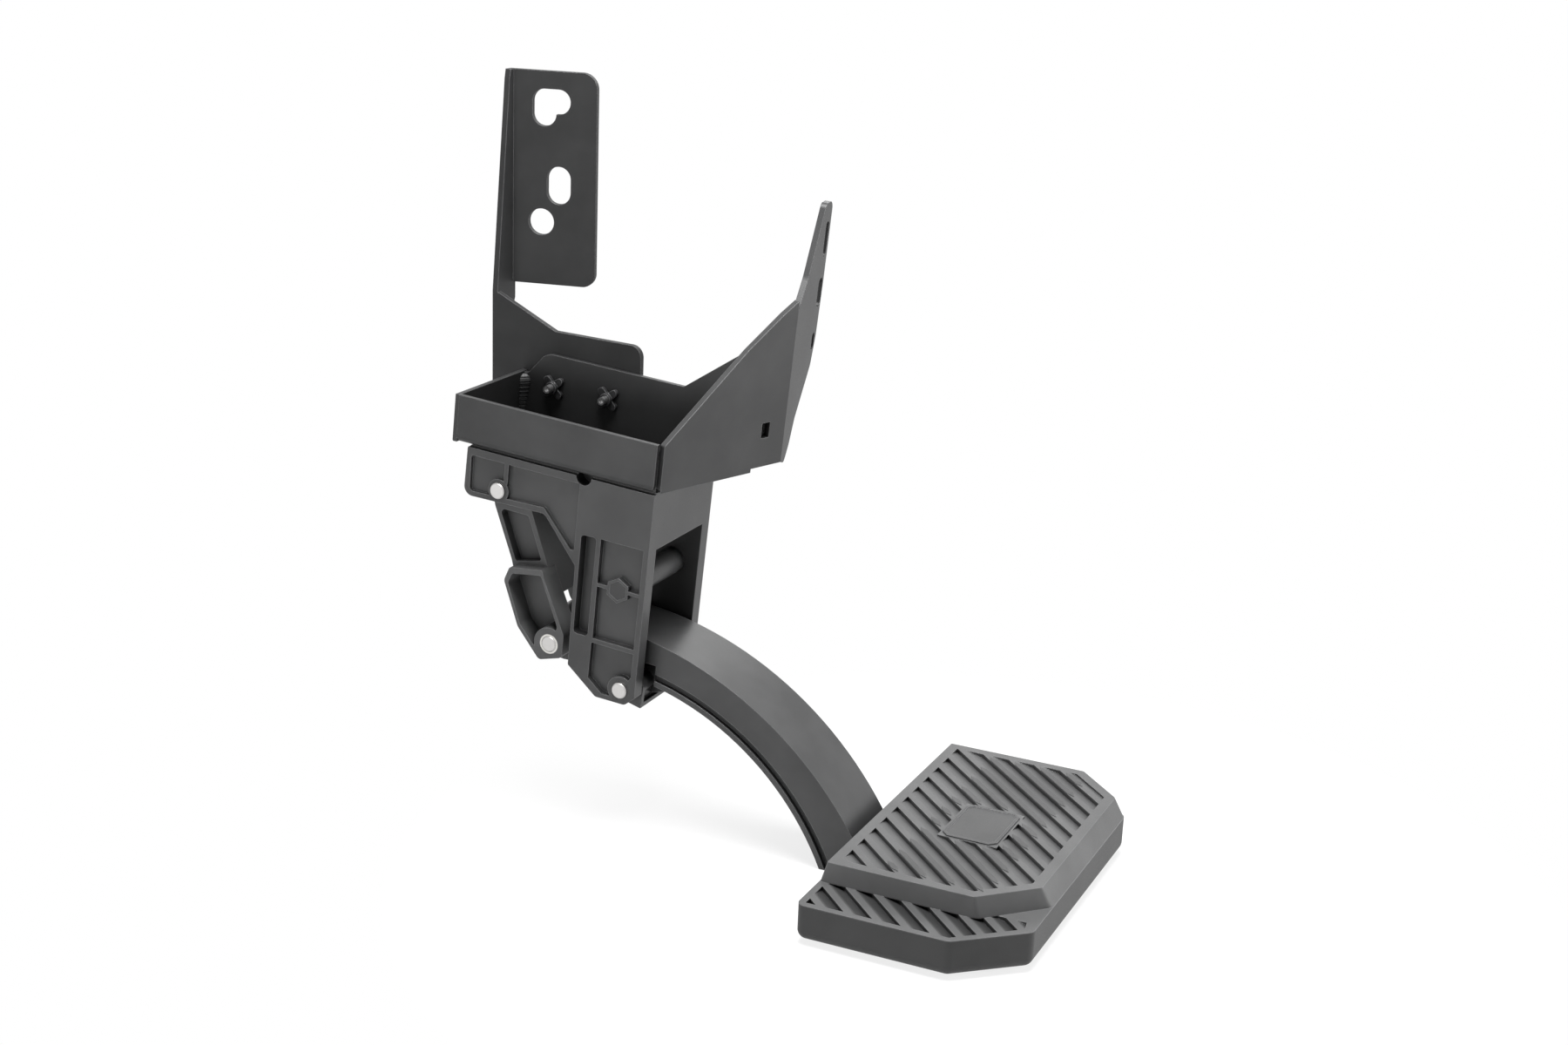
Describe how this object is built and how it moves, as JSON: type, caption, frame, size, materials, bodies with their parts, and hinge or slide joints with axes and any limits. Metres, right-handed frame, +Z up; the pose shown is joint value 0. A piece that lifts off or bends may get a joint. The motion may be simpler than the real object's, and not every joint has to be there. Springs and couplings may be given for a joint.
{
  "type": "truck bed side step",
  "caption": "Fold-down side step for a truck bed: a ribbed linkage housing on a folded mounting tray carries a curved arm with a treaded pad.",
  "frame": {"origin": "centre of the round hole in the frame bracket's flange, at the flange's near face", "axes": "+Z up, +X outboard towards the pad, +Y away from the pad's near end along the vehicle"},
  "size_m": [0.5059, 0.2865, 0.5366],
  "materials": {
    "black_sheet": "satin black powder coat on folded steel sheet",
    "black_casting": "satin black powder coat on cast aluminium",
    "black_pad": "textured black powder coat on a die cast tread",
    "pin_steel": "ground steel",
    "bush_bronze": "plain sintered bearing metal",
    "black_fastener": "black oxide steel",
    "plated_steel": "zinc plated steel",
    "black_sleeve": "black coated steel tube"
  },
  "bodies": {
    "base": {"tray": "black_sheet", "cage_nut": "black_fastener", "tray_screws": "black_fastener", "tray_washers": "black_fastener", "frame_bracket": "black_sheet", "bracket_studs": "plated_steel", "lobed_nuts": "plated_steel", "stud_washers": "black_fastener", "stud_nuts": "black_fastener", "housing": "black_casting", "pin_a": "pin_steel", "pin_b": "pin_steel", "pin_rings": "pin_steel", "thrust_washers": "pin_steel", "cross_bolt": "black_fastener", "stop_sleeve": "black_sleeve", "cross_nut": "black_fastener"},
    "link": {"inboard_link": "black_casting", "link_bushes": "bush_bronze", "pin_c": "pin_steel"},
    "rocker": {"rocker": "black_casting", "rocker_bushes": "bush_bronze", "pin_d": "pin_steel"},
    "arm": {"step_arm": "black_casting", "arm_bush": "bush_bronze", "step_pad": "black_pad", "pad_bolts": "black_fastener", "pad_washers": "black_fastener"}
  },
  "joints": [
    {"name": "link_swing", "type": "hinge", "parent": "base", "child": "link", "pos_m": [0.03615, -0.0717, -0.17594], "axis": [0, 1, 0], "range_deg": [0, 12]},
    {"name": "arm_fold", "type": "hinge", "parent": "link", "child": "arm", "pos_m": [0.07754, -0.0717, -0.2878], "axis": [0, 1, 0], "range_deg": [-36.29, 0]},
    {"name": "rocker_turn", "type": "hinge", "parent": "base", "child": "rocker", "pos_m": [0.13936, -0.0717, -0.31045], "axis": [0, 1, 0], "range_deg": [-56.35, 0]}
  ],
  "couplings": [
    {"joint": "arm_fold", "follows": "link_swing", "ratio": -3.024},
    {"joint": "rocker_turn", "follows": "link_swing", "ratio": -4.696}
  ]
}
